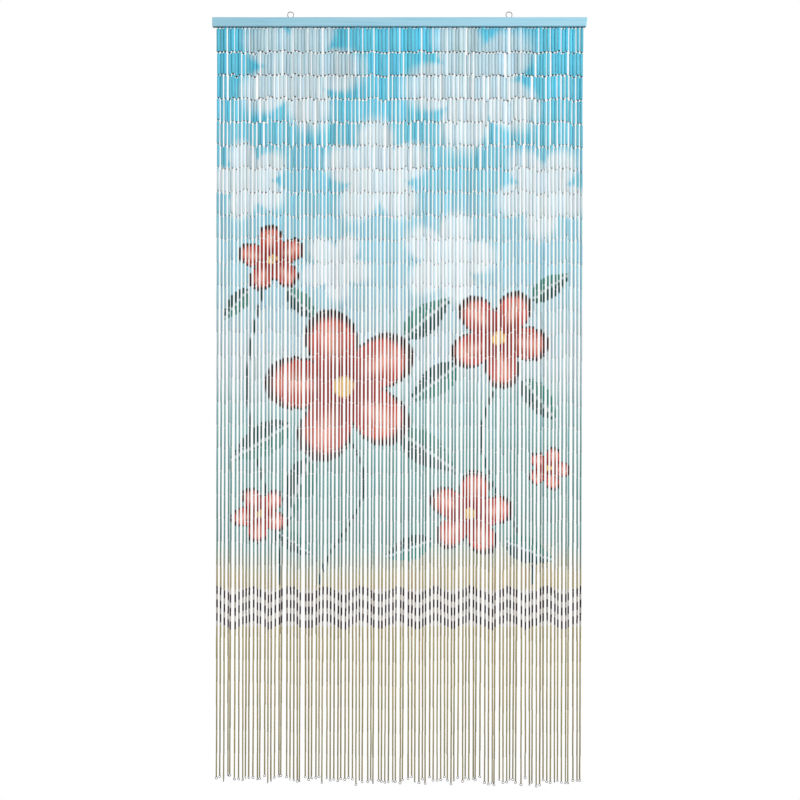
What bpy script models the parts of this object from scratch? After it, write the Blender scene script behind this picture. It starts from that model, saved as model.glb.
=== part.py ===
"""Bamboo tube door curtain hanging from its painted header bar, for Blender 4.5.

Metres, +Z up, front towards -Y. The origin lies midway between the two hanging eyes, where hooks
would seat inside the tops of their rings. The bar is below it and the strands hang from the bar.
"""

import math
import random
from collections import namedtuple

import bmesh
import bpy
from mathutils import Vector

CLEARANCE = 0.0003  # gap kept between pieces that touch

# Wire of the hanging eyes, and the ring it is bent into
EYE_WIRE = 0.0022
EYE_RING_RADIUS = 0.0081
EYE_SPACING = 0.584
EYE_SHANK = 0.012
EYE_BEND_RADIUS = 0.0014
EYE_RING_START = math.radians(16)
EYE_RING_STOP = math.radians(347)
EYE_RING_STEPS = 26
EYE_BEND_STEPS = 3
EYE_BEVEL_RESOLUTION = 2

# Header bar, a wooden lath with eased edges
BAR_LENGTH = 1.000
BAR_HEIGHT = 0.024
BAR_DEPTH = 0.018
BAR_EDGE_ROUND = 0.0012
BAR_EDGE_SEGMENTS = 2
BAR_END_SLANT = 0.003
BAR_FRONT_TO_EYES = 0.0125
PILOT_SIDES = 12

# Backing strip that the strands are rooted in
BACKING_DEPTH = 0.0060
BACKING_HEIGHT = 0.0012

# Strands
STRAND_COUNT = 100
STRAND_FIELD = 0.970  # first strand's centre to last strand's centre
STRAND_LENGTH = 2.015  # bar's underside to the end ring's lowest point
STRAND_MAX_LENGTH_ERROR = 0.014
STRAND_LENGTH_SPREAD = 0.0052
LENGTH_GAIN_ACROSS = 0.010  # the right-hand strands hang this much lower than the left-hand ones
STRAND_SEED = 7
SWAY_SPREAD = 0.0019
MAX_SWAY = 0.0042
SWAY_POWER = 1.3
BOW_SPREAD = 0.0006
MAX_BOW = 0.0012
OUTWARD_SPREAD = 0.0016
MAX_OUTWARD = 0.0032
COMMON_LEAN = -0.0055
CLOSEST_AT_END = 0.0050

# Heights and depths that follow from the sizes above
EYE_RING_CENTRE_Z = EYE_WIRE / 2 - EYE_RING_RADIUS
BAR_TOP = EYE_RING_CENTRE_Z - EYE_RING_RADIUS - EYE_WIRE / 2 - CLEARANCE
BAR_BOTTOM = BAR_TOP - BAR_HEIGHT
BAR_FRONT = -BAR_FRONT_TO_EYES
BAR_BACK = BAR_FRONT + BAR_DEPTH
BAR_MIDDLE_Y = (BAR_FRONT + BAR_BACK) / 2
STRAND_PITCH = STRAND_FIELD / (STRAND_COUNT - 1)

# Cross-sections of a strand: how far below the bar, and how wide and deep it is there
Section = namedtuple("Section", "drop width depth")
BODY_SECTIONS = (
    Section(drop=0.0020, width=0.0026, depth=0.0026),
    Section(drop=0.0036, width=0.0088, depth=0.0088),
    Section(drop=0.1280, width=0.0082, depth=0.0082),
    Section(drop=0.2500, width=0.0075, depth=0.0075),
    Section(drop=0.6500, width=0.0061, depth=0.0061),
    Section(drop=1.3500, width=0.0049, depth=0.0049),
)

# Cross-sections at a strand's lower end: how far above its lowest point each one is
EndSection = namedtuple("EndSection", "rise width depth")
END_SECTIONS = (
    EndSection(rise=0.0085, width=0.0040, depth=0.0040),
    EndSection(rise=0.0066, width=0.0014, depth=0.0014),
    EndSection(rise=0.0033, width=0.0066, depth=0.0014),
    EndSection(rise=0.0000, width=0.0022, depth=0.0012),
)

Finish = namedtuple("Finish", "colour roughness metallic")
FINISHES = {
    "bar_paint": Finish(colour=(0.35, 0.62, 0.76, 1.0), roughness=0.55, metallic=0.0),
    "bamboo": Finish(colour=(0.46, 0.66, 0.70, 1.0), roughness=0.50, metallic=0.0),
    "steel_wire": Finish(colour=(0.45, 0.45, 0.44, 1.0), roughness=0.35, metallic=1.0),
}


def clear_scene():
    for obj in list(bpy.data.objects):
        bpy.data.objects.remove(obj, do_unlink=True)


def make_material(name):
    finish = FINISHES[name]
    material = bpy.data.materials.new(name)
    material.use_nodes = True
    shader = material.node_tree.nodes["Principled BSDF"]
    shader.inputs["Base Color"].default_value = finish.colour
    shader.inputs["Roughness"].default_value = finish.roughness
    shader.inputs["Metallic"].default_value = finish.metallic
    return material


def add_object(name, data, material=None):
    obj = bpy.data.objects.new(name, data)
    bpy.context.scene.collection.objects.link(obj)
    if material:
        data.materials.append(material)
    return obj


def mesh_from(bm, name):
    mesh = bpy.data.meshes.new(name)
    bm.to_mesh(mesh)
    bm.free()
    return mesh


def eye_route():
    """Middle line of an eye's wire in its own X and Z: up the shank, round the ring, almost closed."""
    ring_bottom = EYE_RING_CENTRE_Z - EYE_RING_RADIUS
    route = [Vector((0, 0, BAR_TOP - EYE_SHANK))]
    for step in range(EYE_BEND_STEPS):
        angle = math.radians(90) * step / EYE_BEND_STEPS
        x = EYE_BEND_RADIUS * (1 - math.cos(angle))
        z = ring_bottom - EYE_BEND_RADIUS * (1 - math.sin(angle))
        route.append(Vector((x, 0, z)))
    for step in range(EYE_RING_STEPS + 1):
        angle = EYE_RING_START + (EYE_RING_STOP - EYE_RING_START) * step / EYE_RING_STEPS
        x = EYE_RING_RADIUS * math.sin(angle)
        z = EYE_RING_CENTRE_Z - EYE_RING_RADIUS * math.cos(angle)
        route.append(Vector((x, 0, z)))
    return route


def make_eye(name, x, material):
    """A screw eye bent from one length of wire, its shank going down into the bar."""
    curve = bpy.data.curves.new(name, "CURVE")
    curve.dimensions = "3D"
    curve.bevel_depth = EYE_WIRE / 2
    curve.bevel_resolution = EYE_BEVEL_RESOLUTION
    curve.use_fill_caps = True
    route = eye_route()
    spline = curve.splines.new("POLY")
    spline.points.add(len(route) - 1)
    for point, place in zip(spline.points, route):
        point.co = (*place, 1.0)
    eye = add_object(name, curve, material)
    eye.location = (x, 0, 0)
    return eye


def make_pilot_cutter(x):
    """The blind hole that an eye's shank goes into, as a hidden cutter."""
    above = EYE_SHANK / 2
    radius = EYE_WIRE / 2 + CLEARANCE
    depth = EYE_SHANK + CLEARANCE
    bm = bmesh.new()
    bmesh.ops.create_cone(bm, cap_ends=True, segments=PILOT_SIDES, radius1=radius, radius2=radius,
                          depth=depth + above)
    cutter = add_object("pilot_cutter", mesh_from(bm, "pilot_cutter"))
    cutter.location = (x, 0, BAR_TOP + (above - depth) / 2)
    cutter.hide_render = True
    cutter.display_type = "WIRE"
    return cutter


def make_bar(material):
    """The lath: a box with eased edges, its right end a little out of square, and two pilot holes."""
    bm = bmesh.new()
    bmesh.ops.create_cube(bm, size=1.0)
    for vert in bm.verts:
        right_bottom = vert.co.x > 0 and vert.co.z < 0
        vert.co.x *= BAR_LENGTH
        vert.co.y *= BAR_DEPTH
        vert.co.z *= BAR_HEIGHT
        if right_bottom:
            vert.co.x -= BAR_END_SLANT
    bar = add_object("header_bar", mesh_from(bm, "header_bar"), material)
    bar.location = (0, BAR_MIDDLE_Y, (BAR_TOP + BAR_BOTTOM) / 2)
    bevel = bar.modifiers.new("eased_edges", "BEVEL")
    bevel.width = BAR_EDGE_ROUND
    bevel.segments = BAR_EDGE_SEGMENTS
    bevel.limit_method = "NONE"
    for side in (-1, 1):
        hole = bar.modifiers.new("pilot_hole", "BOOLEAN")
        hole.operation = "DIFFERENCE"
        hole.solver = "EXACT"
        hole.object = make_pilot_cutter(side * EYE_SPACING / 2)
    return bar


Strand = namedtuple("Strand", "root length sway bow outward")


def limited_gauss(dice, spread, limit):
    return max(-limit, min(limit, dice.gauss(0, spread)))


def lay_out_strands():
    """Each strand's root, length and lean, from one seed, so that neighbours never cross."""
    dice = random.Random(STRAND_SEED)
    strands = []
    last_end = -math.inf
    for index in range(STRAND_COUNT):
        across = index / (STRAND_COUNT - 1) - 0.5
        root = across * STRAND_FIELD
        error = limited_gauss(dice, STRAND_LENGTH_SPREAD, STRAND_MAX_LENGTH_ERROR)
        sway = limited_gauss(dice, SWAY_SPREAD, MAX_SWAY)
        bow = limited_gauss(dice, BOW_SPREAD, MAX_BOW)
        outward = limited_gauss(dice, OUTWARD_SPREAD, MAX_OUTWARD)
        end = max(root + sway, last_end + CLOSEST_AT_END)
        last_end = end
        length = STRAND_LENGTH + LENGTH_GAIN_ACROSS * across + error
        strands.append(Strand(root, length, end - root + COMMON_LEAN, bow, outward))
    return strands


def strand_centre(strand, drop):
    """Where a strand's middle line is, at a drop below the bar."""
    part = drop / strand.length
    x = strand.root + strand.sway * part ** SWAY_POWER + strand.bow * math.sin(math.pi * part)
    y = BAR_MIDDLE_Y + strand.outward * part ** SWAY_POWER
    return Vector((x, y, BAR_BOTTOM - drop))


def strand_sections(strand):
    lower = [Section(strand.length - end.rise, end.width, end.depth) for end in END_SECTIONS]
    return list(BODY_SECTIONS) + lower


def extrude_to(bm, face, strand, section):
    """Extrude a four-cornered face to a strand's next cross-section and return the new face."""
    old_centre = face.calc_center_median()
    new_face = bmesh.ops.extrude_discrete_faces(bm, faces=[face])["faces"][0]
    new_centre = strand_centre(strand, section.drop)
    for vert in new_face.verts:
        x = math.copysign(section.width / 2, vert.co.x - old_centre.x)
        y = math.copysign(section.depth / 2, vert.co.y - old_centre.y)
        vert.co = new_centre + Vector((x, y, 0))
    return new_face


def make_backing_cells(bm):
    """The backing strip, divided under each strand, and its lower faces in order from the left."""
    top = BAR_BOTTOM - CLEARANCE
    bottom = top - BACKING_HEIGHT
    front = BAR_MIDDLE_Y - BACKING_DEPTH / 2
    back = BAR_MIDDLE_Y + BACKING_DEPTH / 2
    rows = []
    for line in range(STRAND_COUNT + 1):
        x = (line - STRAND_COUNT / 2) * STRAND_PITCH
        corners = ((front, bottom), (back, bottom), (back, top), (front, top))
        rows.append([bm.verts.new((x, y, z)) for y, z in corners])
    cells = []
    for left, right in zip(rows, rows[1:]):
        cells.append(bm.faces.new((left[0], left[1], right[1], right[0])))
        bm.faces.new((left[1], left[2], right[2], right[1]))
        bm.faces.new((left[2], left[3], right[3], right[2]))
        bm.faces.new((left[3], left[0], right[0], right[3]))
    bm.faces.new(rows[0][::-1])
    bm.faces.new(rows[-1])
    return cells


def make_strands(material):
    """All strands, four-sided and tapering, extruded down from their backing strip."""
    bm = bmesh.new()
    cells = make_backing_cells(bm)
    root_drop = CLEARANCE + BACKING_HEIGHT
    neck = BODY_SECTIONS[0]
    for face, strand in zip(cells, lay_out_strands()):
        face = extrude_to(bm, face, strand, Section(root_drop, neck.width, neck.depth))
        for section in strand_sections(strand):
            face = extrude_to(bm, face, strand, section)
    return add_object("bamboo_strands", mesh_from(bm, "bamboo_strands"), material)


def main():
    clear_scene()
    materials = {name: make_material(name) for name in FINISHES}
    make_bar(materials["bar_paint"])
    make_eye("eye_left", -EYE_SPACING / 2, materials["steel_wire"])
    make_eye("eye_right", EYE_SPACING / 2, materials["steel_wire"])
    make_strands(materials["bamboo"])


main()
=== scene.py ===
"""Looks of the bamboo tube door curtain: painted tubes on wire links, hung from a painted wooden bar."""
import math
import random
from collections import namedtuple

import bpy
import numpy as np
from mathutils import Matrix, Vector


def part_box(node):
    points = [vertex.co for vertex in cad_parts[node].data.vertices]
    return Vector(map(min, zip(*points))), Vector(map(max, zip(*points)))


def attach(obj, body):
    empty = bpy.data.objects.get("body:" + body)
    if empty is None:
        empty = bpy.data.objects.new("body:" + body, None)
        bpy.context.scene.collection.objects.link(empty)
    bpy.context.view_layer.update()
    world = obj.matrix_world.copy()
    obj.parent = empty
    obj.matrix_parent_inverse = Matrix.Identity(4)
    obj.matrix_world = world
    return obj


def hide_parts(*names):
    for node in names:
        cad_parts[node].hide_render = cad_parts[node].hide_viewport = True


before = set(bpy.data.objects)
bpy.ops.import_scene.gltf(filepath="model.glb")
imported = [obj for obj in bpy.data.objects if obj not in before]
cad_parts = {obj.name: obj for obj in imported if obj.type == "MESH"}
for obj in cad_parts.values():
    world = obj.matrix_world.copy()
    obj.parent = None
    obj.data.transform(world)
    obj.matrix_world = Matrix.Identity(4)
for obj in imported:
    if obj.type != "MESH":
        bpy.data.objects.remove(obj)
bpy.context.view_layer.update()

# The photograph's frame, and the sizes that tie it to the part
PICTURE_SIDE = 800
PICTURE_CENTRE = PICTURE_SIDE / 2
METRES_PER_PIXEL = 0.002663
BAR_TOP_PIXEL = 17.0
BAR_CENTRE_PIXEL = 399.85
CAMERA_DISTANCE = 3.1  # from the bar's front face, from how much of its underside shows
SENSOR_WIDTH = 36.0

# Strands, laid out by the same seeded rule as the solid they replace
STRAND_COUNT = 100
STRAND_FIELD = 0.970
STRAND_LENGTH = 2.015
STRAND_MAX_LENGTH_ERROR = 0.014
STRAND_LENGTH_SPREAD = 0.0052
LENGTH_GAIN_ACROSS = 0.010
STRAND_SEED = 7
SWAY_SPREAD = 0.0019
MAX_SWAY = 0.0042
SWAY_POWER = 1.3
BOW_SPREAD = 0.0006
MAX_BOW = 0.0012
OUTWARD_SPREAD = 0.0016
MAX_OUTWARD = 0.0032
COMMON_LEAN = -0.0055
CLOSEST_AT_END = 0.0050

# Tube diameter by how far it hangs below the bar
DIAMETER_DROPS = (0.0, 0.07, 0.13, 0.21, 0.30, 0.42, 0.53, 0.65,
                  0.80, 1.00, 1.25, 1.50, 1.65, 1.80, 2.00)
DIAMETERS = (0.0091, 0.0089, 0.0082, 0.0077, 0.0075, 0.0071, 0.0065, 0.0061,
             0.0056, 0.0051, 0.0048, 0.0048, 0.0045, 0.0041, 0.0037)
STRAND_DIAMETER_SPREAD = 0.035
TUBE_DIAMETER_SPREAD = 0.035
STRAND_TONE_SPREAD = 0.065
TUBE_TONE_SPREAD = 0.055

# Tubes along a strand
TUBES_PER_STRAND = 32
ROWS_PER_BAND = 8
BAND_NAMES = ("top", "upper", "lower", "bottom")
TUBE_LENGTH_SPREAD = 0.0017
GAP_DROPS = (0.0, 0.15, 0.50, 0.75, 1.30, 1.60)
GAPS = (0.0040, 0.0037, 0.0028, 0.0014, 0.0014, 0.0005)
GAP_SPREAD = 0.25  # of the gap
FIRST_TUBE_DROP = 0.0036
FIRST_TUBE_DROP_SPREAD = 0.0014
STRAY_DROPS = (0.0, 0.20, 0.50, 1.00)
STRAYS = (0.00070, 0.00052, 0.00028, 0.00020)
LEAN_SHARE = 0.35  # of the stray, by which a tube's two ends differ
MISPRINT_SPREAD = 0.0015
TUBE_SEED = 23
TUBE_CLEARANCE = 0.00008
SETTLING_STEPS = 120
TOUCHING_DROPS = (0.0, 0.10, 0.20, 0.30, 0.45)
TOUCHING_SHARES = (0.60, 0.54, 0.44, 0.32, 0.0)
TOUCHING_KEPT = 0.45  # chance that a pair goes on as it is in the next row down
TOUCHING_REACH = 0.0022  # widest space that a pair closes
BORE_SHARE = 0.64
SMALLEST_BORE = 0.0009
EDGE_EASE = 0.0005
END_TILT = 0.07
BOW_DROPS = (0.0, 0.4)
BOWS = (0.00013, 0.00009)
OUT_OF_ROUND = 0.015
TUBE_SIDES = 10
TUBE_SHARP_ANGLE = math.radians(50)

# Wire links, hooks and end rings
LOOP_TUBE_DIAMETERS = (0.0038, 0.0060, 0.0088)
LOOP_RADII = (0.00078, 0.00132, 0.00185)
LOOP_WIRES = (0.00070, 0.00120, 0.00150)
LOOP_SLACK = 0.00008
LAST_LOOP_RADIUS = 0.00115
LOOP_POINTS = 8
LOOP_FROM = math.radians(62)
LOOP_TO = math.radians(-232)
LOOP_TURN_SPREAD = 0.5
LOOP_SEED = 900
STUB = 0.0050
WIRE_SIDES = 4
WIRE_SHARP_ANGLE = math.radians(80)
HOOK_WIRE = 0.0010
HOOK_ABOVE_TUBE = 0.0014
HOOK_HALF_WIDTH = 0.0014
HOOK_POINTS = 7
HOOK_SUNK = 0.0012
END_RING_RADIUS = 0.0031
END_RING_WIRE = 0.0014
END_RING_STEPS = 18
END_RING_SIDES = 6
END_RING_TURN_SPREAD = 0.7
END_RING_TIP_SPREAD = 0.22
END_RING_SEED = 77
TUBE_TO_END = 0.0080

# Hanging eyes, bent from the same route as their solids but finer
EYE_WIRE = 0.0022
EYE_RING_RADIUS = 0.0081
EYE_SPACING = 0.584
EYE_SHANK = 0.012
EYE_BEND_RADIUS = 0.0014
EYE_RING_START = math.radians(16)
EYE_RING_STOP = math.radians(347)
EYE_RING_STEPS = 72
EYE_BEND_STEPS = 6
EYE_WIRE_SIDES = 16

bar_low, bar_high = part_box("header_bar")
BAR_BOTTOM = bar_low[2]
BAR_TOP = bar_high[2]
BAR_FRONT = bar_low[1]
BAR_MIDDLE_Y = (bar_low[1] + bar_high[1]) / 2
BAR_CENTRE_X = 0.0


def linear(red, green, blue):
    """A colour given as 0 to 255 display values, as the linear colour that shaders take."""
    def channel(value):
        value /= 255
        return value / 12.92 if value <= 0.04045 else ((value + 0.055) / 1.055) ** 2.4
    return (channel(red), channel(green), channel(blue), 1.0)


# A colour Mix node's sockets, which share their names with its other kinds
MIX_FIRST_COLOUR = 6
MIX_SECOND_COLOUR = 7
MIX_COLOUR = 2


class Graph:
    """Adds nodes to a node tree. Each call takes sockets or plain values and returns an output socket."""

    def __init__(self, tree):
        self.tree = tree

    def feed(self, socket, value):
        if isinstance(value, bpy.types.NodeSocket):
            self.tree.links.new(value, socket)
        else:
            socket.default_value = value

    def node(self, kind, inputs=(), **settings):
        made = self.tree.nodes.new(kind)
        for name, value in settings.items():
            setattr(made, name, value)
        for name, value in dict(inputs).items():
            self.feed(made.inputs[name], value)
        return made

    def math(self, operation, *values):
        made = self.node("ShaderNodeMath", operation=operation)
        for socket, value in zip(made.inputs, values):
            self.feed(socket, value)
        return made.outputs[0]

    def step(self, value, low, high, start=0.0, stop=1.0):
        """A smooth step from start to stop as value goes from low to high."""
        made = self.node("ShaderNodeMapRange", interpolation_type="SMOOTHSTEP")
        wanted = {"Value": value, "From Min": low, "From Max": high, "To Min": start, "To Max": stop}
        for name, number in wanted.items():
            self.feed(made.inputs[name], number)
        return made.outputs["Result"]

    def mix(self, factor, first, second, blend="MIX"):
        made = self.node("ShaderNodeMix", data_type="RGBA", blend_type=blend)
        self.feed(made.inputs["Factor"], factor)
        self.feed(made.inputs[MIX_FIRST_COLOUR], first)
        self.feed(made.inputs[MIX_SECOND_COLOUR], second)
        return made.outputs[MIX_COLOUR]

    def ramp(self, value, stops):
        """Colours eased from stop to stop, each a place from 0 to 1 and its colour."""
        made = self.node("ShaderNodeValToRGB", {"Fac": value})
        made.color_ramp.interpolation = "EASE"
        elements = made.color_ramp.elements
        while len(elements) < len(stops):
            elements.new(0.5)
        for element, (place, colour) in zip(elements, stops):
            element.position = place
            element.color = colour
        return made.outputs["Color"]

    def noise(self, coordinates, scale, detail=2.0, roughness=0.5):
        """Noise with its own scale along each axis."""
        place = self.node("ShaderNodeMapping", {"Vector": coordinates, "Scale": scale}).outputs["Vector"]
        wanted = {"Vector": place, "Scale": 1.0, "Detail": detail, "Roughness": roughness}
        return self.node("ShaderNodeTexNoise", wanted).outputs["Fac"]


def new_material(name):
    material = bpy.data.materials.new(name)
    material.use_nodes = True
    graph = Graph(material.node_tree)
    shader = material.node_tree.nodes["Principled BSDF"]
    return material, graph, shader


# Painted design: a shaded ground, blossoms, leaves and a zigzag border
Stop = namedtuple("Stop", "drop colour")
GROUND = (
    Stop(0.00, linear(97, 204, 231)),
    Stop(0.16, linear(101, 201, 227)),
    Stop(0.36, linear(115, 198, 220)),
    Stop(0.62, linear(147, 201, 217)),
    Stop(0.90, linear(175, 199, 207)),
    Stop(1.05, linear(134, 180, 182)),
    Stop(1.18, linear(114, 164, 163)),
    Stop(1.36, linear(112, 156, 153)),
    Stop(1.49, linear(181, 166, 124)),
    Stop(1.66, linear(174, 162, 115)),
    Stop(2.00, linear(159, 150, 108)),
)
GROUND_SPAN = 2.02
GROUND_WAVE = 0.022
GROUND_WAVE_RATE = 7.0

# Blossoms: petal shape and bands as shares of the blossom's size
PETALS = 5
PETAL_FULLNESS = 0.55
CLEFT_DEPTH = 0.66
CLEFT_ROUNDING = 0.015
RIM_BAND = (0.80, 0.92)
STREAK_NARROWNESS = 7.0
STREAK_BEGIN = (0.22, 0.52)
STREAK_END = (0.95, 0.66)
STREAK_COVER = 0.75
SHADED_BAND = (0.15, 0.85)
HEART_EDGE = (0.15, 0.11)
CORAL_SOFTNESS = 0.04
PALE_SOFTNESS = 0.30
Blossom = namedtuple("Blossom", "across drop size turn")
CORAL_BLOSSOMS = (
    Blossom(across=-0.150, drop=0.960, size=0.215, turn=0.25),
    Blossom(across=0.265, drop=0.830, size=0.140, turn=0.75),
    Blossom(across=0.190, drop=1.300, size=0.120, turn=1.10),
    Blossom(across=-0.340, drop=0.620, size=0.095, turn=0.10),
    Blossom(across=-0.370, drop=1.300, size=0.080, turn=0.50),
    Blossom(across=0.400, drop=1.180, size=0.062, turn=0.90),
)
PALE_BLOSSOMS = (
    Blossom(across=-0.270, drop=0.110, size=0.200, turn=0.90),
    Blossom(across=0.200, drop=0.150, size=0.220, turn=0.40),
    Blossom(across=-0.060, drop=0.390, size=0.170, turn=0.05),
    Blossom(across=0.380, drop=0.440, size=0.150, turn=0.60),
    Blossom(across=-0.400, drop=0.410, size=0.125, turn=0.30),
    Blossom(across=0.130, drop=0.620, size=0.150, turn=1.00),
    Blossom(across=-0.170, drop=0.640, size=0.110, turn=0.70),
)

# Leaves: their shape as shares of their length
LEAF_FULLNESS = 0.75
LEAF_HALF_WIDTH = 0.24
LEAF_LEAST_WIDTH = 0.0001
LEAF_EDGE = (1.0, 0.9)
LEAF_RIB = (0.030, 0.012)
LEAF_RIB_COVER = 0.6
LEAF_LIT_SIDE = (-0.10, 0.10)
Leaf = namedtuple("Leaf", "across drop size turn")
LEAVES = (
    Leaf(across=-0.290, drop=1.060, size=0.190, turn=-2.60),
    Leaf(across=-0.240, drop=1.150, size=0.180, turn=-1.90),
    Leaf(across=0.000, drop=1.080, size=0.190, turn=-0.60),
    Leaf(across=0.010, drop=0.830, size=0.170, turn=0.70),
    Leaf(across=0.160, drop=0.900, size=0.170, turn=-2.50),
    Leaf(across=0.330, drop=0.940, size=0.150, turn=-0.90),
    Leaf(across=0.350, drop=0.730, size=0.130, turn=0.60),
    Leaf(across=0.090, drop=1.370, size=0.140, turn=-2.80),
    Leaf(across=0.280, drop=1.370, size=0.150, turn=-0.40),
    Leaf(across=-0.300, drop=0.700, size=0.120, turn=-0.80),
    Leaf(across=-0.400, drop=0.700, size=0.110, turn=-2.30),
    Leaf(across=-0.320, drop=1.350, size=0.110, turn=-0.60),
)

# Thin stems that sway from side to side on their way up to the blossoms
Stem = namedtuple("Stem", "across swing upper lower")
STEMS = (
    Stem(across=-0.150, swing=0.060, upper=1.080, lower=1.490),
    Stem(across=0.290, swing=-0.070, upper=0.900, lower=1.490),
    Stem(across=-0.360, swing=-0.045, upper=0.690, lower=1.490),
)
STEM_HALF_WIDTH = 0.0055
STEM_SWINGS = 1.5
LINE_EDGE = 0.003

SKY_WHITE = linear(213, 228, 235)
PALE_COVER_DROPS = (0.02, 0.24)
PALE_COVERS = (0.72, 0.90)
CORAL_DEEP = linear(146, 36, 28)
CORAL = linear(198, 74, 58)
CORAL_PALE = linear(236, 170, 152)
OUTLINE_BROWN = linear(48, 32, 30)
POLLEN = linear(228, 186, 110)
LEAF_DARK = linear(22, 78, 80)
LEAF_LIGHT = linear(62, 138, 128)
BORDER_DARK = linear(62, 50, 46)
BORDER_WHITE = linear(188, 182, 172)
TUBE_WARM = (1.0, 0.955, 0.90, 1.0)
TUBE_COOL = (0.92, 0.97, 1.0, 1.0)
BARE_BAMBOO = linear(206, 182, 136)
BARE_BAMBOO_DARK = linear(150, 122, 80)
# Bore colours: raw bamboo darkened as painted shade, for the little light that reaches inside a tube
BORE_SHADE_PALE = linear(74, 58, 40)
BORE_SHADE_DARK = linear(36, 28, 21)

BORDER_DROP = 1.550
BORDER_HALF_HEIGHT = 0.052
BORDER_EDGE = 0.004
BORDER_PERIOD = 0.0978
BORDER_SWING = 0.013
BORDER_LINES = (-0.036, 0.0, 0.036)
BORDER_LINE_HALF = 0.0120

# Bamboo under its paint: noise scales across and along a tube, and where the paint is thin
STREAK_SCALE = (700, 700, 10)
STREAK_RANGE = (0.25, 0.75)
STREAK_SHADES = (0.86, 1.08)
FIBRE_SCALE = (2600, 2600, 40)
PATCH_SCALE = (60, 60, 30)
THIN_PATCHES = (0.50, 0.66)
THIN_ON_BACK = 0.7
THIN_ON_ENDS = 0.35
BACK_FACING = (0.2, 0.9)
END_FACING = (0.6, 0.9)
PAINT_ROUGHNESS = (0.52, 0.72)
PAINT_SHINE = 0.22
PORE_SCALE = (1800, 1800, 200)
BORE_ROUGHNESS = (0.9, 0.7)

# Steel wire, from its dark oxide to its bright metal
Steel = namedtuple("Steel", "name dark light roughness")
LINK_STEEL = Steel("link_wire", linear(24, 22, 21), linear(56, 53, 50), 0.40)
RING_STEEL = Steel("ring_wire", linear(50, 47, 40), linear(86, 82, 72), 0.38)
EYE_STEEL = Steel("eye_wire", linear(130, 130, 128), linear(180, 180, 176), 0.30)
OXIDE_SCALE = (500, 500, 500)
OXIDE_ROUGHER = 0.15

# The bar: noise scales along it and across it, and its paint
BAR_GRAIN_SCALE = (5, 260, 260)
BAR_BRUSH_SCALE = (14, 1200, 1200)
BAR_BLOTCH_SCALE = (18, 60, 60)
BAR_DARK = linear(139, 194, 216)
BAR_BLUE = linear(155, 205, 224)
BAR_LIGHT = linear(167, 212, 228)
BAR_BLOTCH = linear(150, 208, 212)
BAR_WORN = linear(196, 206, 200)
BAR_WORN_BAND = (-0.0022, -0.0006)
BAR_ROUGHNESS = (0.42, 0.58)


def group_of(name, inputs, outputs):
    """An empty node group with float inputs and outputs, its graph and its two end nodes."""
    tree = bpy.data.node_groups.new(name, "ShaderNodeTree")
    for label in inputs:
        tree.interface.new_socket(label, in_out="INPUT", socket_type="NodeSocketFloat")
    for label in outputs:
        tree.interface.new_socket(label, in_out="OUTPUT", socket_type="NodeSocketFloat")
    graph = Graph(tree)
    return tree, graph, graph.node("NodeGroupInput").outputs, graph.node("NodeGroupOutput").inputs


def blossom_group():
    """A blossom of round petals: its mask, its dark rim, a pale streak down each petal and its heart."""
    tree, graph, given, out = group_of("blossom", ("Across", "Up", "Size", "Turn", "Softness"),
                                       ("Mask", "Rim", "Streak", "Heart", "Radius"))
    across = graph.math("DIVIDE", given["Across"], given["Size"])
    up = graph.math("DIVIDE", given["Up"], given["Size"])
    squares = graph.math("ADD", graph.math("MULTIPLY", across, across), graph.math("MULTIPLY", up, up))
    radius = graph.math("SQRT", squares)
    angle = graph.math("ADD", graph.math("ARCTAN2", across, up), given["Turn"])
    cosine = graph.math("COSINE", graph.math("MULTIPLY", angle, PETALS / 2))
    lobe = graph.math("SQRT", graph.math("MULTIPLY_ADD", cosine, cosine, CLEFT_ROUNDING))
    fullness = graph.math("POWER", lobe, PETAL_FULLNESS)
    reach = graph.math("MULTIPLY_ADD", fullness, CLEFT_DEPTH, 1 - CLEFT_DEPTH)
    inside = graph.math("DIVIDE", radius, reach)
    inner = graph.math("SUBTRACT", 1.0, given["Softness"])
    mask = graph.step(inside, inner, 1.0, 1.0, 0.0)
    rim = graph.step(inside, *RIM_BAND)
    ridge = graph.math("POWER", lobe, STREAK_NARROWNESS)
    middle = graph.math("MULTIPLY", graph.step(radius, *STREAK_BEGIN), graph.step(radius, *STREAK_END))
    streak = graph.math("MULTIPLY", ridge, middle)
    heart = graph.step(radius, *HEART_EDGE)
    results = {"Mask": mask, "Rim": rim, "Streak": streak, "Heart": heart, "Radius": radius}
    for name, socket in results.items():
        graph.feed(out[name], socket)
    return tree


def leaf_group():
    """A pointed leaf growing from its stalk: its mask, its midrib and its lighter half."""
    tree, graph, given, out = group_of("leaf", ("Across", "Up", "Size", "Turn"), ("Mask", "Rib", "Lit"))
    cosine = graph.math("COSINE", given["Turn"])
    sine = graph.math("SINE", given["Turn"])
    along = graph.math("ADD", graph.math("MULTIPLY", given["Across"], cosine),
                       graph.math("MULTIPLY", given["Up"], sine))
    along = graph.math("DIVIDE", along, given["Size"])
    aside = graph.math("SUBTRACT", graph.math("MULTIPLY", given["Up"], cosine),
                       graph.math("MULTIPLY", given["Across"], sine))
    aside = graph.math("DIVIDE", aside, given["Size"])
    held = graph.math("MINIMUM", graph.math("MAXIMUM", along, 0.0), 1.0)
    fullness = graph.math("POWER", held, LEAF_FULLNESS)
    arch = graph.math("MAXIMUM", graph.math("SINE", graph.math("MULTIPLY", fullness, math.pi)), 0.0)
    half = graph.math("MULTIPLY_ADD", arch, LEAF_HALF_WIDTH, LEAF_LEAST_WIDTH)
    ratio = graph.math("DIVIDE", graph.math("ABSOLUTE", aside), half)
    graph.feed(out["Mask"], graph.step(ratio, *LEAF_EDGE))
    graph.feed(out["Rib"], graph.step(graph.math("ABSOLUTE", aside), *LEAF_RIB))
    graph.feed(out["Lit"], graph.step(aside, *LEAF_LIT_SIDE))
    return tree


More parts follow.
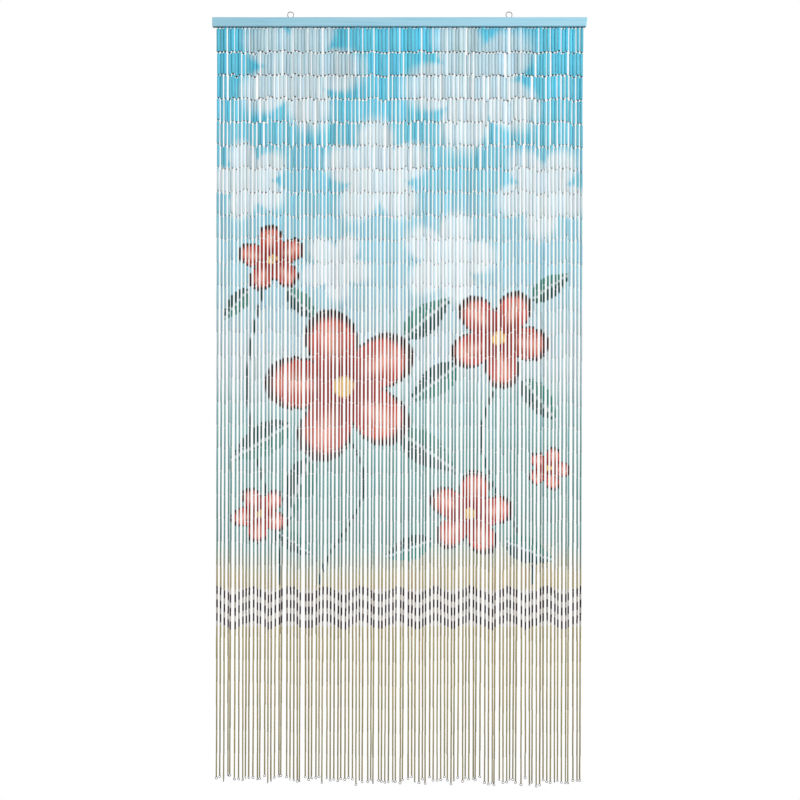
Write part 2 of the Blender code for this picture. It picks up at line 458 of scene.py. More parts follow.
def placed(graph, group, place, across, drop, **extra):
    """A blossom or leaf group set at its place in the design."""
    made = graph.node("ShaderNodeGroup", node_tree=group)
    graph.feed(made.inputs["Across"], graph.math("SUBTRACT", across, place.across))
    graph.feed(made.inputs["Up"], graph.math("SUBTRACT", place.drop, drop))
    made.inputs["Size"].default_value = place.size
    made.inputs["Turn"].default_value = place.turn
    for name, value in extra.items():
        made.inputs[name].default_value = value
    return made.outputs


def paint_pale_blossom(graph, colour, shape, cover):
    """One soft pale blossom over the colours so far, as solid as its cover."""
    return graph.mix(graph.math("MULTIPLY", shape["Mask"], cover), colour, SKY_WHITE)


def paint_coral_blossom(graph, colour, shape):
    """One coral blossom over the colours so far: shaded petals, pale streaks, a dark rim and a heart."""
    petal = graph.mix(graph.step(shape["Radius"], *SHADED_BAND), CORAL_DEEP, CORAL)
    petal = graph.mix(graph.math("MULTIPLY", shape["Streak"], STREAK_COVER), petal, CORAL_PALE)
    petal = graph.mix(shape["Rim"], petal, OUTLINE_BROWN)
    petal = graph.mix(shape["Heart"], petal, POLLEN)
    return graph.mix(shape["Mask"], colour, petal)


def paint_leaf(graph, colour, shape):
    """One leaf over the colours so far, with a darker half and a pale midrib."""
    blade = graph.mix(shape["Lit"], LEAF_DARK, LEAF_LIGHT)
    blade = graph.mix(graph.math("MULTIPLY", shape["Rib"], LEAF_RIB_COVER), blade, SKY_WHITE)
    return graph.mix(shape["Mask"], colour, blade)


def paint_stem(graph, colour, stem, across, drop):
    """One stem over the colours so far, swinging from side to side on its way down."""
    length = stem.lower - stem.upper
    run = graph.math("MULTIPLY_ADD", drop, 1 / length, -stem.upper / length)
    swung = graph.math("SINE", graph.math("MULTIPLY", run, STEM_SWINGS * math.pi))
    middle = graph.math("MULTIPLY_ADD", swung, stem.swing, stem.across)
    away = graph.math("ABSOLUTE", graph.math("SUBTRACT", across, middle))
    line = graph.step(away, STEM_HALF_WIDTH, STEM_HALF_WIDTH - LINE_EDGE)
    held = graph.math("COMPARE", run, 0.5, 0.5)
    return graph.mix(graph.math("MULTIPLY", line, held), colour, LEAF_DARK)


def paint_border(graph, colour, across, drop):
    """Zigzag lines in dark brown on white, in a band below the blossoms."""
    from_middle = graph.math("SUBTRACT", drop, BORDER_DROP)
    away = graph.math("ABSOLUTE", from_middle)
    band = graph.step(away, BORDER_HALF_HEIGHT, BORDER_HALF_HEIGHT - BORDER_EDGE)
    colour = graph.mix(band, colour, BORDER_WHITE)
    swing = graph.math("PINGPONG", across, BORDER_PERIOD / 2)
    swing = graph.math("MULTIPLY_ADD", swing, 4 * BORDER_SWING / BORDER_PERIOD, -BORDER_SWING)
    level = graph.math("SUBTRACT", from_middle, swing)
    for line in BORDER_LINES:
        away = graph.math("ABSOLUTE", graph.math("SUBTRACT", level, line))
        mark = graph.step(away, BORDER_LINE_HALF, BORDER_LINE_HALF - LINE_EDGE)
        colour = graph.mix(mark, colour, BORDER_DARK)
    return colour


def paint_design(graph, across, drop):
    """The whole painted design as one colour socket."""
    wave = graph.math("SINE", graph.math("MULTIPLY", across, GROUND_WAVE_RATE))
    wave = graph.math("MULTIPLY", wave, GROUND_WAVE)
    ground_at = graph.math("DIVIDE", graph.math("ADD", drop, wave), GROUND_SPAN)
    colour = graph.ramp(ground_at, [(stop.drop / GROUND_SPAN, stop.colour) for stop in GROUND])
    blossom = blossom_group()
    leaf = leaf_group()
    cover = graph.step(drop, *PALE_COVER_DROPS, *PALE_COVERS)
    for place in PALE_BLOSSOMS:
        shape = placed(graph, blossom, place, across, drop, Softness=PALE_SOFTNESS)
        colour = paint_pale_blossom(graph, colour, shape, cover)
    for stem in STEMS:
        colour = paint_stem(graph, colour, stem, across, drop)
    for place in LEAVES:
        colour = paint_leaf(graph, colour, placed(graph, leaf, place, across, drop))
    for place in CORAL_BLOSSOMS:
        shape = placed(graph, blossom, place, across, drop, Softness=CORAL_SOFTNESS)
        colour = paint_coral_blossom(graph, colour, shape)
    return paint_border(graph, colour, across, drop)


def painted_bamboo():
    """Paint sprayed on bamboo: the design, uneven from tube to tube, thin on the back, over grain."""
    material, graph, shader = new_material("painted_bamboo")
    painted_at = graph.node("ShaderNodeAttribute", attribute_name="painted_at")
    split = graph.node("ShaderNodeSeparateXYZ", {"Vector": painted_at.outputs["Vector"]})
    across, tone, height = split.outputs[0], split.outputs[1], split.outputs[2]
    drop = graph.math("SUBTRACT", BAR_BOTTOM, height)
    colour = paint_design(graph, across, drop)

    place = graph.node("ShaderNodeTexCoord").outputs["Object"]
    streaks = graph.noise(place, STREAK_SCALE, detail=3.0, roughness=0.6)
    fibres = graph.noise(place, FIBRE_SCALE)
    patches = graph.noise(place, PATCH_SCALE)
    shade = graph.math("MULTIPLY", tone, graph.step(streaks, *STREAK_RANGE, *STREAK_SHADES))
    tint = graph.node("ShaderNodeCombineXYZ", {"X": shade, "Y": shade, "Z": shade}).outputs[0]
    colour = graph.mix(1.0, colour, tint, blend="MULTIPLY")
    chance = graph.node("ShaderNodeTexWhiteNoise", {"W": tone}, noise_dimensions="1D").outputs["Value"]
    colour = graph.mix(1.0, colour, graph.mix(chance, TUBE_WARM, TUBE_COOL), blend="MULTIPLY")

    normal = graph.node("ShaderNodeNewGeometry").outputs["Normal"]
    facing = graph.node("ShaderNodeSeparateXYZ", {"Vector": normal}).outputs
    thin_patches = graph.step(patches, *THIN_PATCHES, 0.0, THIN_ON_BACK)
    thin_back = graph.math("MULTIPLY", graph.step(facing[1], *BACK_FACING), thin_patches)
    thin_ends = graph.step(graph.math("ABSOLUTE", facing[2]), *END_FACING, 0.0, THIN_ON_ENDS)
    thin = graph.math("MAXIMUM", thin_back, thin_ends)
    bare = graph.ramp(streaks, [(0.3, BARE_BAMBOO_DARK), (0.7, BARE_BAMBOO)])
    colour = graph.mix(thin, colour, bare)

    bump = graph.node("ShaderNodeBump", {"Strength": 0.35, "Distance": 0.00025, "Height": fibres})
    graph.feed(shader.inputs["Base Color"], colour)
    graph.feed(shader.inputs["Roughness"], graph.step(streaks, 0.2, 0.8, *PAINT_ROUGHNESS))
    shader.inputs["Specular IOR Level"].default_value = PAINT_SHINE
    graph.feed(shader.inputs["Normal"], bump.outputs["Normal"])
    return material


def shaded_bore_bamboo():
    """The tubes' bores: raw bamboo, its colour darkened as painted shade for the dim inside of each tube.
    """
    material, graph, shader = new_material("shaded_bore_bamboo")
    place = graph.node("ShaderNodeTexCoord").outputs["Object"]
    pores = graph.noise(place, PORE_SCALE)
    graph.feed(shader.inputs["Base Color"], graph.ramp(pores, [(0.35, BORE_SHADE_DARK), (0.65, BORE_SHADE_PALE)]))
    graph.feed(shader.inputs["Roughness"], graph.step(pores, 0.3, 0.7, *BORE_ROUGHNESS))
    bump = graph.node("ShaderNodeBump", {"Strength": 0.4, "Distance": 0.0002, "Height": pores})
    graph.feed(shader.inputs["Normal"], bump.outputs["Normal"])
    return material


def steel(wire):
    """Drawn steel wire with dull oxide patches."""
    material, graph, shader = new_material(wire.name)
    place = graph.node("ShaderNodeTexCoord").outputs["Object"]
    patches = graph.noise(place, OXIDE_SCALE, detail=3.0)
    shader.inputs["Metallic"].default_value = 1.0
    graph.feed(shader.inputs["Base Color"], graph.ramp(patches, [(0.35, wire.dark), (0.65, wire.light)]))
    dulled = graph.step(patches, 0.3, 0.7, wire.roughness + OXIDE_ROUGHER, wire.roughness)
    graph.feed(shader.inputs["Roughness"], dulled)
    return material


def bar_paint():
    """Satin light blue over wood: faint grain along the bar, paint thin on its edges."""
    material, graph, shader = new_material("bar_paint_look")
    place = graph.node("ShaderNodeTexCoord").outputs["Object"]
    grain = graph.noise(place, BAR_GRAIN_SCALE, detail=4.0, roughness=0.6)
    brush = graph.noise(place, BAR_BRUSH_SCALE)
    blotches = graph.noise(place, BAR_BLOTCH_SCALE)
    colour = graph.ramp(grain, [(0.30, BAR_DARK), (0.55, BAR_BLUE), (0.75, BAR_LIGHT)])
    colour = graph.mix(graph.step(blotches, 0.50, 0.75, 0.0, 0.30), colour, BAR_BLOTCH)
    split = graph.node("ShaderNodeSeparateXYZ", {"Vector": place})
    half_height = (BAR_TOP - BAR_BOTTOM) / 2
    half_depth = bar_high[1] - BAR_MIDDLE_Y
    up = graph.math("ABSOLUTE", graph.math("SUBTRACT", split.outputs[2], BAR_BOTTOM + half_height))
    deep = graph.math("ABSOLUTE", graph.math("SUBTRACT", split.outputs[1], BAR_MIDDLE_Y))
    past_face = graph.math("SUBTRACT", up, half_height)
    past_side = graph.math("SUBTRACT", deep, half_depth)
    near_edge = graph.step(graph.math("ADD", past_face, past_side), *BAR_WORN_BAND)
    worn = graph.math("MULTIPLY", near_edge, graph.step(grain, 0.45, 0.62, 0.0, 0.5))
    colour = graph.mix(worn, colour, BAR_WORN)
    bump_height = graph.math("MULTIPLY_ADD", grain, 0.7, graph.math("MULTIPLY", brush, 0.3))
    bump = graph.node("ShaderNodeBump", {"Strength": 0.3, "Distance": 0.0004, "Height": bump_height})
    graph.feed(shader.inputs["Base Color"], colour)
    graph.feed(shader.inputs["Roughness"], graph.step(brush, 0.3, 0.7, *BAR_ROUGHNESS))
    graph.feed(shader.inputs["Normal"], bump.outputs["Normal"])
    return material


Strand = namedtuple("Strand", "root length sway bow outward")


def limited_gauss(dice, spread, limit):
    return max(-limit, min(limit, dice.gauss(0, spread)))


def lay_out_strands():
    """Each strand's root, length and lean, from one seed, so that neighbours never cross."""
    dice = random.Random(STRAND_SEED)
    strands = []
    last_end = -math.inf
    for index in range(STRAND_COUNT):
        across = index / (STRAND_COUNT - 1) - 0.5
        root = across * STRAND_FIELD
        error = limited_gauss(dice, STRAND_LENGTH_SPREAD, STRAND_MAX_LENGTH_ERROR)
        sway = limited_gauss(dice, SWAY_SPREAD, MAX_SWAY)
        bow = limited_gauss(dice, BOW_SPREAD, MAX_BOW)
        outward = limited_gauss(dice, OUTWARD_SPREAD, MAX_OUTWARD)
        end = max(root + sway, last_end + CLOSEST_AT_END)
        last_end = end
        length = STRAND_LENGTH + LENGTH_GAIN_ACROSS * across + error
        strands.append(Strand(root, length, end - root + COMMON_LEAN, bow, outward))
    return strands


def strand_centre(strand, drop):
    """Where a strand's middle line is, at a drop below the bar."""
    part = drop / strand.length
    x = strand.root + strand.sway * part ** SWAY_POWER + strand.bow * math.sin(math.pi * part)
    y = BAR_MIDDLE_Y + strand.outward * part ** SWAY_POWER
    return Vector((x, y, BAR_BOTTOM - drop))


class Tubes:
    """Ends, radii and paint of every tube, as arrays with a row per strand and a column per tube."""

    def __init__(self):
        dice = random.Random(TUBE_SEED)
        shape = (STRAND_COUNT, TUBES_PER_STRAND)
        self.top = np.zeros(shape + (3,))
        self.bottom = np.zeros(shape + (3,))
        self.radius = np.zeros(shape)
        self.tone = np.zeros(shape)
        self.painted_x = np.zeros(shape)
        self.misprint = np.zeros(shape)
        for row, strand in enumerate(lay_out_strands()):
            self.hang(dice, row, strand)
        self.settle(dice)

    def hang(self, dice, row, strand):
        """One strand's tubes, from under the bar to just above its end ring."""
        first = FIRST_TUBE_DROP + limited_gauss(dice, FIRST_TUBE_DROP_SPREAD, 1.2 * FIRST_TUBE_DROP_SPREAD)
        last = strand.length - TUBE_TO_END
        gaps = [0.0]
        for joint in range(1, TUBES_PER_STRAND):
            gap = np.interp(joint * strand.length / TUBES_PER_STRAND, GAP_DROPS, GAPS)
            gaps.append(gap * (1 + dice.uniform(-1, 1) * GAP_SPREAD))
        errors = [dice.gauss(0, TUBE_LENGTH_SPREAD) for _ in range(TUBES_PER_STRAND)]
        pitch = (last - first - sum(errors)) / TUBES_PER_STRAND
        misprint = dice.gauss(0, MISPRINT_SPREAD)
        strand_width = 1 + limited_gauss(dice, STRAND_DIAMETER_SPREAD, 2 * STRAND_DIAMETER_SPREAD)
        strand_tone = 1 + limited_gauss(dice, STRAND_TONE_SPREAD, 2 * STRAND_TONE_SPREAD)
        bottom = first
        for column, gap in enumerate(gaps):
            drop = bottom + gap
            bottom = drop + pitch - gap + errors[column]
            stray = self.stray(dice, drop, 1.0)
            lean = self.stray(dice, drop, LEAN_SHARE)
            self.top[row, column] = strand_centre(strand, drop) + stray
            self.bottom[row, column] = strand_centre(strand, bottom) + stray + lean
            diameter = np.interp(drop, DIAMETER_DROPS, DIAMETERS)
            wider = limited_gauss(dice, TUBE_DIAMETER_SPREAD, 2 * TUBE_DIAMETER_SPREAD)
            lighter = limited_gauss(dice, TUBE_TONE_SPREAD, 2 * TUBE_TONE_SPREAD)
            self.radius[row, column] = diameter / 2 * (strand_width + wider)
            self.tone[row, column] = strand_tone + lighter
            self.painted_x[row, column] = strand.root
            self.misprint[row, column] = misprint

    def stray(self, dice, drop, share):
        """How far a tube hangs from its strand's middle line: further where the tubes are crowded."""
        spread = share * np.interp(drop, STRAY_DROPS, STRAYS)
        aside = limited_gauss(dice, spread, 2 * spread)
        forward = limited_gauss(dice, spread, 2 * spread)
        return Vector((aside, forward, 0))

    def touching_pairs(self, dice, space):
        """Which tubes cling to the next strand's: near ones, and most of all in the top rows."""
        touching = np.zeros(space.shape, dtype=bool)
        for pair, spaces in enumerate(space):
            clings = False
            for column, width in enumerate(spaces):
                drop = column * STRAND_LENGTH / TUBES_PER_STRAND
                share = np.interp(drop, TOUCHING_DROPS, TOUCHING_SHARES)
                if column == 0 or dice.random() > TOUCHING_KEPT:
                    clings = dice.random() < share
                touching[pair, column] = clings and share > 0 and width < TOUCHING_REACH
        return touching

    def settle(self, dice):
        """Pushes tubes that would press into the next strand's apart, and draws clinging ones together."""
        wide = self.radius[1:] + self.radius[:-1] + TUBE_CLEARANCE
        middle = (self.top + self.bottom) / 2
        touching = self.touching_pairs(dice, np.diff(middle[..., 0], axis=0) - wide)
        for ends in (self.top, self.bottom):
            across = ends[..., 0]
            apart = np.sqrt(np.maximum(wide ** 2 - np.diff(ends[..., 1], axis=0) ** 2, 0))
            for _ in range(SETTLING_STEPS):
                space = np.diff(across, axis=0) - apart
                move = np.where(touching, space, np.minimum(space, 0)) / 2
                across[:-1] += move
                across[1:] -= move


def mesh_object(name, verts, quads, materials, smooth_angle):
    """A mesh of quads from arrays, smooth but for edges sharper than an angle."""
    mesh = bpy.data.meshes.new(name)
    verts = verts.reshape(-1, 3)
    quads = quads.reshape(-1, 4)
    mesh.vertices.add(len(verts))
    mesh.vertices.foreach_set("co", verts.astype(np.float32).ravel())
    mesh.loops.add(quads.size)
    mesh.loops.foreach_set("vertex_index", quads.astype(np.int32).ravel())
    mesh.polygons.add(len(quads))
    mesh.polygons.foreach_set("loop_start", np.arange(0, quads.size, 4, dtype=np.int32))
    mesh.update(calc_edges=True)
    mesh.validate()
    mesh.polygons.foreach_set("use_smooth", np.ones(len(quads), dtype=bool))
    mesh.set_sharp_from_angle(angle=smooth_angle)
    for material in materials:
        mesh.materials.append(material)
    made = bpy.data.objects.new(name, mesh)
    bpy.context.scene.collection.objects.link(made)
    return made


def ring_quads(rings, sides, count, closed):
    """Quads joining each ring of points to the next, for count copies of a tube-like shape."""
    ring = np.arange(rings if closed else rings - 1)
    side = np.arange(sides)
    ring, side = np.meshgrid(ring, side, indexing="ij")
    next_ring = (ring + 1) % rings
    next_side = (side + 1) % sides
    corners = (ring * sides + side, next_ring * sides + side, next_ring * sides + next_side,
               ring * sides + next_side)
    quads = np.stack(corners, axis=-1).reshape(-1, 4)
    starts = (np.arange(count) * rings * sides)[:, None, None]
    return quads[None] + starts


def unit(vectors):
    return vectors / np.linalg.norm(vectors, axis=-1, keepdims=True)


# Rings of a tube, from the bore's edge round the outside to the bore's other edge
TubeRing = namedtuple("TubeRing", "along ease outer")
TUBE_RINGS = (
    TubeRing(along=0.0, ease=0, outer=False),
    TubeRing(along=0.0, ease=0, outer=True),
    TubeRing(along=0.0, ease=1, outer=True),
    TubeRing(along=0.5, ease=1, outer=True),
    TubeRing(along=1.0, ease=1, outer=True),
    TubeRing(along=1.0, ease=0, outer=True),
    TubeRing(along=1.0, ease=0, outer=False),
)
RIM_FACTOR = 0.90
BORE_SEGMENT = 6

# The map's cells, and where in its cell each strip of a tube lies: one strip from ring to ring
CELL_COLUMNS = 40
CELL_ROWS = 20
STRIP_LOWS = (0.02, 0.06, 0.10, 0.50, 0.90, 0.94, 0.02)
STRIP_HIGHS = (0.06, 0.10, 0.50, 0.90, 0.94, 0.98, 0.98)
OUTSIDE_STRIP = (0.02, 0.80)
BORE_STRIP = (0.84, 0.98)


def make_tubes(tubes, band, materials):
    """Eight rows of hollow tubes as one mesh, with the paint's place on each and a map of them all."""
    columns = slice(band * ROWS_PER_BAND, (band + 1) * ROWS_PER_BAND)
    top = tubes.top[:, columns].reshape(-1, 3)
    bottom = tubes.bottom[:, columns].reshape(-1, 3)
    radius = tubes.radius[:, columns].ravel()
    count = len(radius)
    dice = np.random.default_rng(TUBE_SEED + band)
    axis = bottom - top
    length = np.linalg.norm(axis, axis=1)
    axis /= length[:, None]
    right = unit(np.cross(np.array([0.0, 1.0, 0.0])[None], axis))
    front = np.cross(axis, right)
    bore = np.maximum(radius * BORE_SHARE, SMALLEST_BORE)
    turn = dice.uniform(0, 2 * math.pi, count)
    out_of_round = dice.normal(0, OUT_OF_ROUND, (count, TUBE_SIDES))
    bow = dice.normal(0, 1, (count, 2)) * np.interp(BAR_BOTTOM - top[:, 2], BOW_DROPS, BOWS)[:, None]
    tilts = dice.normal(0, END_TILT, (count, 2, 2))
    angles = turn[:, None] + np.arange(TUBE_SIDES)[None] * 2 * math.pi / TUBE_SIDES
    verts = np.zeros((count, len(TUBE_RINGS), TUBE_SIDES, 3))
    for index, ring in enumerate(TUBE_RINGS):
        along = ring.along + ring.ease * np.sign(0.5 - ring.along) * EDGE_EASE / length
        size = radius if ring.outer else bore
        if ring.outer and not ring.ease:
            size = radius * RIM_FACTOR
        reach = size[:, None] * (1 + out_of_round * ring.outer)
        arch = np.sin(math.pi * along)[:, None] * bow
        sideways = np.cos(angles) * reach
        forward = np.sin(angles) * reach
        tilt = tilts[:, int(ring.along)] * (0 if ring.along == 0.5 else 1)
        lift = sideways * tilt[:, :1] + forward * tilt[:, 1:]
        centre = top + axis * (along * length)[:, None] + right * arch[:, :1] + front * arch[:, 1:]
        verts[:, index] = (centre[:, None] + right[:, None] * sideways[..., None]
                           + front[:, None] * forward[..., None] + axis[:, None] * lift[..., None])
    quads = ring_quads(len(TUBE_RINGS), TUBE_SIDES, count, closed=True)
    made = mesh_object("tubes_" + BAND_NAMES[band], verts, quads, materials, TUBE_SHARP_ANGLE)

    segment = np.repeat(np.arange(len(TUBE_RINGS)), TUBE_SIDES)
    # Bore faces take the second material, whose dark colour is painted shade
    bare = np.tile(segment == BORE_SEGMENT, count)
    made.data.polygons.foreach_set("material_index", bare.astype(np.int32))

    painted = np.zeros((count, len(TUBE_RINGS), TUBE_SIDES, 3))
    painted[..., 0] = tubes.painted_x[:, columns].ravel()[:, None, None]
    painted[..., 1] = tubes.tone[:, columns].ravel()[:, None, None]
    painted[..., 2] = verts[..., 2] + tubes.misprint[:, columns].ravel()[:, None, None]
    attribute = made.data.attributes.new("painted_at", "FLOAT_VECTOR", "POINT")
    attribute.data.foreach_set("vector", painted.astype(np.float32).ravel())
    map_tubes(made.data, count)
    return made


def map_tubes(mesh, count):
    """A UV map with a cell for each tube: its outside between its two ends, and its bore beside them."""
    low = np.array(STRIP_LOWS)
    high = np.array(STRIP_HIGHS)
    left = np.full(len(TUBE_RINGS), OUTSIDE_STRIP[0])
    right = np.full(len(TUBE_RINGS), OUTSIDE_STRIP[1])
    left[BORE_SEGMENT], right[BORE_SEGMENT] = BORE_STRIP
    side = np.arange(TUBE_SIDES) / TUBE_SIDES
    next_side = side + 1 / TUBE_SIDES
    u = np.stack([side, side, next_side, next_side], axis=-1)[None]
    u = left[:, None, None] + (right - left)[:, None, None] * u
    v = np.stack([low, high, high, low], axis=-1)[:, None] * np.ones((1, TUBE_SIDES, 1))
    cell = np.arange(count)
    cell_u = (cell % CELL_COLUMNS)[:, None, None, None]
    cell_v = (cell // CELL_COLUMNS)[:, None, None, None]
    uv = np.stack([(cell_u + u[None]) / CELL_COLUMNS, (cell_v + v[None]) / CELL_ROWS], axis=-1)
    layer = mesh.uv_layers.new(name="OFBake")
    layer.uv.foreach_set("vector", uv.astype(np.float32).ravel())


def make_wires(name, paths, plane, wire, sides, materials, closed=False):
    """Wires of one or several thicknesses along flat paths, as one mesh.

    paths holds the points of each wire, and plane the normal of the plane that each lies in.
    """
    count, points = paths.shape[:2]
    if closed:
        along = np.roll(paths, -1, axis=1) - np.roll(paths, 1, axis=1)
    else:
        along = np.gradient(paths, axis=1)
    along = unit(along)
    normal = np.broadcast_to(plane[:, None], along.shape)
    across = unit(np.cross(normal, along))
    angles = np.arange(sides) * 2 * math.pi / sides
    thick = np.broadcast_to(wire, (count,))[:, None, None, None] / 2
    verts = paths[:, :, None] + thick * (np.cos(angles)[:, None] * across[:, :, None]
                                         + np.sin(angles)[:, None] * normal[:, :, None])
    quads = ring_quads(points, sides, count, closed)
    parts = [quads.reshape(-1, 4)]
    if not closed and sides == WIRE_SIDES:
        # A face over each end of each wire
        starts = np.arange(count)[:, None] * points * sides
        parts.append(starts + np.array([3, 2, 1, 0])[None])
        parts.append(starts + (points - 1) * sides + np.arange(WIRE_SIDES)[None])
    return mesh_object(name, verts, np.concatenate(parts)[:, ::-1], materials, WIRE_SHARP_ANGLE)


def loop_paths(ends, axes, plane, radius, wire, meeting):
    """A wire's way out of a tube's end: up from its middle and round a loop that hooks what it meets.

    The axes point out of the tube, and each loop reaches just past the place where it meets the next one.
    """
    across = unit(np.cross(plane, axes))
    centre = meeting + axes * ((wire + LOOP_SLACK) / 2 - radius)[:, None]
    points = [ends - axes * STUB]
    for angle in np.linspace(LOOP_FROM, LOOP_TO, LOOP_POINTS):
        points.append(centre + radius[:, None] * (math.cos(angle) * across - math.sin(angle) * axes))
    return np.stack(points, axis=1)


def make_links(tubes, band, material):
    """The wire loops at both ends of eight rows of tubes, each pair hooked roughly at right angles."""
    dice = np.random.default_rng(LOOP_SEED + band)
    columns = slice(band * ROWS_PER_BAND, (band + 1) * ROWS_PER_BAND)
    joints = (tubes.bottom[:, :-1] + tubes.top[:, 1:]) / 2
    on_hooks = tubes.top[:, :1] + [0, 0, HOOK_ABOVE_TUBE + HOOK_WIRE / 2]
    on_rings = tubes.bottom[:, -1:] - [0, 0, TUBE_TO_END - 2 * END_RING_RADIUS]
    meeting = np.concatenate([on_hooks, joints, on_rings], axis=1)
    diameter = 2 * tubes.radius
    radius = np.interp(diameter, LOOP_TUBE_DIAMETERS, LOOP_RADII)
    lower_radius = radius.copy()
    lower_radius[:, -1] = LAST_LOOP_RADIUS
    wire = np.interp(diameter, LOOP_TUBE_DIAMETERS, LOOP_WIRES)[:, columns].ravel()
    top = tubes.top[:, columns].reshape(-1, 3)
    bottom = tubes.bottom[:, columns].reshape(-1, 3)
    axis = unit(bottom - top)
    upper = (top, -axis, 0.0, radius, meeting[:, :-1])
    lower = (bottom, axis, math.pi / 2, lower_radius, meeting[:, 1:])
    paths, planes = [], []
    for ends, axes, quarter, loop_radius, meets in (upper, lower):
        turn = quarter + math.pi / 4 + dice.normal(0, LOOP_TURN_SPREAD, len(ends))
        plane = np.stack([np.cos(turn), np.sin(turn), np.zeros(len(ends))], axis=1)
        plane = unit(plane - axes * np.sum(plane * axes, axis=1, keepdims=True))
        paths.append(loop_paths(ends, axes, plane, loop_radius[:, columns].ravel(), wire,
                                meets[:, columns].reshape(-1, 3)))
        planes.append(plane)
    return make_wires("links_" + BAND_NAMES[band], np.concatenate(paths), np.concatenate(planes),
                      np.tile(wire, 2), WIRE_SIDES, [material])


def make_hooks(tubes, material):
    """A wire staple in the bar's underside above each strand."""
    first = tubes.top[:, 0]
    low = first[:, 2] + HOOK_ABOVE_TUBE
    sunk = np.full(STRAND_COUNT, BAR_BOTTOM + HOOK_SUNK)
    start = np.stack([first[:, 0] - HOOK_HALF_WIDTH, first[:, 1], sunk], axis=1)
    points = [start]
    for angle in np.linspace(math.pi, 2 * math.pi, HOOK_POINTS):
        points.append(np.stack([first[:, 0] + HOOK_HALF_WIDTH * math.cos(angle), first[:, 1],
                                low + HOOK_HALF_WIDTH * (1 + math.sin(angle))], axis=1))
    points.append(start + [2 * HOOK_HALF_WIDTH, 0, 0])
    plane = np.tile([0.0, 1.0, 0.0], (STRAND_COUNT, 1))
    paths = np.stack(points, axis=1)
    return make_wires("strand_hooks", paths, plane, HOOK_WIRE, WIRE_SIDES, [material])


def make_end_rings(tubes, material):
    """The small ring that ends each strand, turned and tipped at random."""
    dice = np.random.default_rng(END_RING_SEED)
    ends = tubes.bottom[:, -1]
    centre = ends - [0, 0, TUBE_TO_END - END_RING_RADIUS - END_RING_WIRE / 2]
    turn = dice.normal(0, END_RING_TURN_SPREAD, STRAND_COUNT)
    tip = dice.normal(0, END_RING_TIP_SPREAD, STRAND_COUNT)
    plane = unit(np.stack([np.sin(turn), -np.cos(turn) * np.cos(tip), np.sin(tip)], axis=1))
    across = unit(np.cross(plane, [0.0, 0.0, 1.0]))
    up = np.cross(across, plane)
    points = []
    for step in range(END_RING_STEPS):
        angle = 2 * math.pi * step / END_RING_STEPS
        points.append(centre + END_RING_RADIUS * (math.cos(angle) * across + math.sin(angle) * up))
    paths = np.stack(points, axis=1)
    return make_wires("end_rings", paths, plane, END_RING_WIRE, END_RING_SIDES, [material], closed=True)


def make_eye(name, x, material):
    """A hanging eye: one wire up out of the bar and round its ring."""
    ring_centre = EYE_WIRE / 2 - EYE_RING_RADIUS
    ring_bottom = ring_centre - EYE_RING_RADIUS
    route = [(x, 0, BAR_TOP - EYE_SHANK)]
    for step in range(EYE_BEND_STEPS):
        angle = math.radians(90) * step / EYE_BEND_STEPS
        route.append((x + EYE_BEND_RADIUS * (1 - math.cos(angle)), 0,
                      ring_bottom - EYE_BEND_RADIUS * (1 - math.sin(angle))))
    for step in range(EYE_RING_STEPS + 1):
        angle = EYE_RING_START + (EYE_RING_STOP - EYE_RING_START) * step / EYE_RING_STEPS
        route.append((x + EYE_RING_RADIUS * math.sin(angle), 0,
                      ring_centre - EYE_RING_RADIUS * math.cos(angle)))
    curve = bpy.data.curves.new(name, "CURVE")
    curve.dimensions = "3D"
    curve.bevel_depth = EYE_WIRE / 2
    curve.bevel_resolution = EYE_WIRE_SIDES // 2 - 2
    curve.use_fill_caps = True
    spline = curve.splines.new("POLY")
    spline.points.add(len(route) - 1)
    for point, place in zip(spline.points, route):
        point.co = (*place, 1.0)
    spline.use_smooth = True
    curve.materials.append(material)
    made = bpy.data.objects.new(name, curve)
    bpy.context.scene.collection.objects.link(made)
    return made


Lamp = namedtuple("Lamp", "name place target width height power")
LAMPS = (
    Lamp("key_right", (2.4, -2.3, -0.35), (0, 0, -0.75), 1.5, 2.6, 77),
    Lamp("fill_left", (-1.6, -2.8, -0.8), (0, 0, -0.9), 1.6, 2.6, 22),
    Lamp("back_right", (2.2, 2.6, -0.4), (0, 0, -0.8), 1.6, 2.6, 48),
    Lamp("back_left", (-2.2, 2.6, -0.7), (0, 0, -0.9), 1.6, 2.6, 30),
)
WORLD_ABOVE = 0.72
WORLD_BELOW = 0.20
WORLD_BEHIND = 0.45
WORLD_FADE_UP = 0.5
WORLD_FADE_BACK = 0.6


def area_light(lamp):
    """A soft rectangular lamp that faces its target and stays out of the picture itself."""
    data = bpy.data.lights.new(lamp.name, "AREA")
    data.shape = "RECTANGLE"
    data.size = lamp.width
    data.size_y = lamp.height
    data.energy = lamp.power
    light = bpy.data.objects.new(lamp.name, data)
    light.location = lamp.place
    light.rotation_mode = "QUATERNION"
    light.rotation_quaternion = (Vector(lamp.target) - Vector(lamp.place)).to_track_quat("-Z", "Y")
    light.visible_camera = False
    bpy.context.scene.collection.objects.link(light)


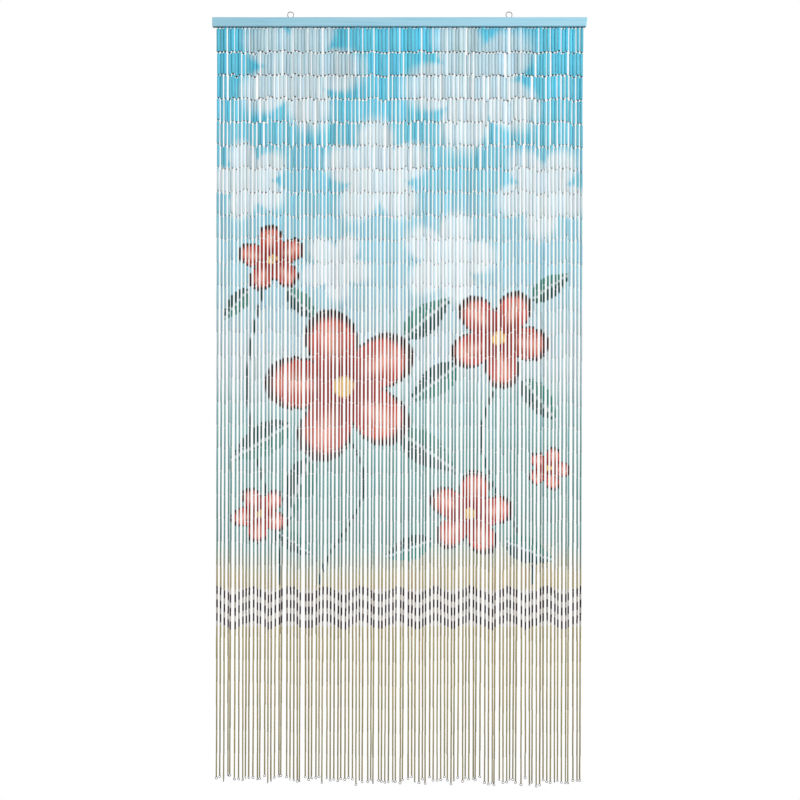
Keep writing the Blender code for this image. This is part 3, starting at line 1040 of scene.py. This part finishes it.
def make_lights():
    """A plain white surround, which lights less from below and behind, and four large soft lamps."""
    world = bpy.data.worlds.new("surround")
    bpy.context.scene.world = world
    world.use_nodes = True
    graph = Graph(world.node_tree)
    background = world.node_tree.nodes["Background"]
    direction = graph.node("ShaderNodeTexCoord").outputs["Generated"]
    split = graph.node("ShaderNodeSeparateXYZ", {"Vector": direction})
    rising = graph.step(split.outputs[2], -WORLD_FADE_UP, WORLD_FADE_UP, WORLD_BELOW, WORLD_ABOVE)
    receding = graph.step(split.outputs[1], -WORLD_FADE_BACK, WORLD_FADE_BACK, 1.0, WORLD_BEHIND)
    light = graph.math("MULTIPLY", rising, receding)
    seen = graph.node("ShaderNodeLightPath").outputs["Is Camera Ray"]
    graph.feed(background.inputs["Strength"], graph.math("MAXIMUM", light, seen))
    background.inputs["Color"].default_value = (1, 1, 1, 1)
    for lamp in LAMPS:
        area_light(lamp)
    view = bpy.context.scene.view_settings
    view.view_transform = "Standard"
    view.look = "None"


def make_camera():
    """A level camera that faces the curtain, set so that the bar lands where it is in the picture."""
    data = bpy.data.cameras.new("camera")
    data.sensor_width = SENSOR_WIDTH
    data.lens = SENSOR_WIDTH * CAMERA_DISTANCE / (PICTURE_SIDE * METRES_PER_PIXEL)
    camera = bpy.data.objects.new("camera", data)
    bpy.context.scene.collection.objects.link(camera)
    x = BAR_CENTRE_X - (BAR_CENTRE_PIXEL - PICTURE_CENTRE) * METRES_PER_PIXEL
    z = BAR_TOP - (PICTURE_CENTRE - BAR_TOP_PIXEL) * METRES_PER_PIXEL
    camera.location = (x, BAR_FRONT - CAMERA_DISTANCE, z)
    camera.rotation_euler = (math.radians(90), 0, 0)
    data.clip_start = 0.05
    data.clip_end = 100.0
    bpy.context.scene.camera = camera


def main():
    make_camera()
    tubes = Tubes()
    paint = painted_bamboo()
    bore = shaded_bore_bamboo()
    wire = steel(LINK_STEEL)
    ring_wire = steel(RING_STEEL)
    eye_wire = steel(EYE_STEEL)
    pieces = []
    for band in range(len(BAND_NAMES)):
        piece = make_tubes(tubes, band, [paint, bore])
        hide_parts("bamboo_strands")
        pieces.append(piece)
        links = make_links(tubes, band, wire)
        pieces.append(links)
    hooks = make_hooks(tubes, wire)
    rings = make_end_rings(tubes, ring_wire)
    for piece in (hooks, rings):
        pieces.append(piece)
    for side, name in ((-1, "eye_left"), (1, "eye_right")):
        eye = make_eye(name + "_wire", side * EYE_SPACING / 2, eye_wire)
        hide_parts(name)
        pieces.append(eye)
    for piece in pieces:
        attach(piece, "root")
    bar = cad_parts["header_bar"]
    bar.material_slots[0].material = bar_paint()
    make_lights()


main()
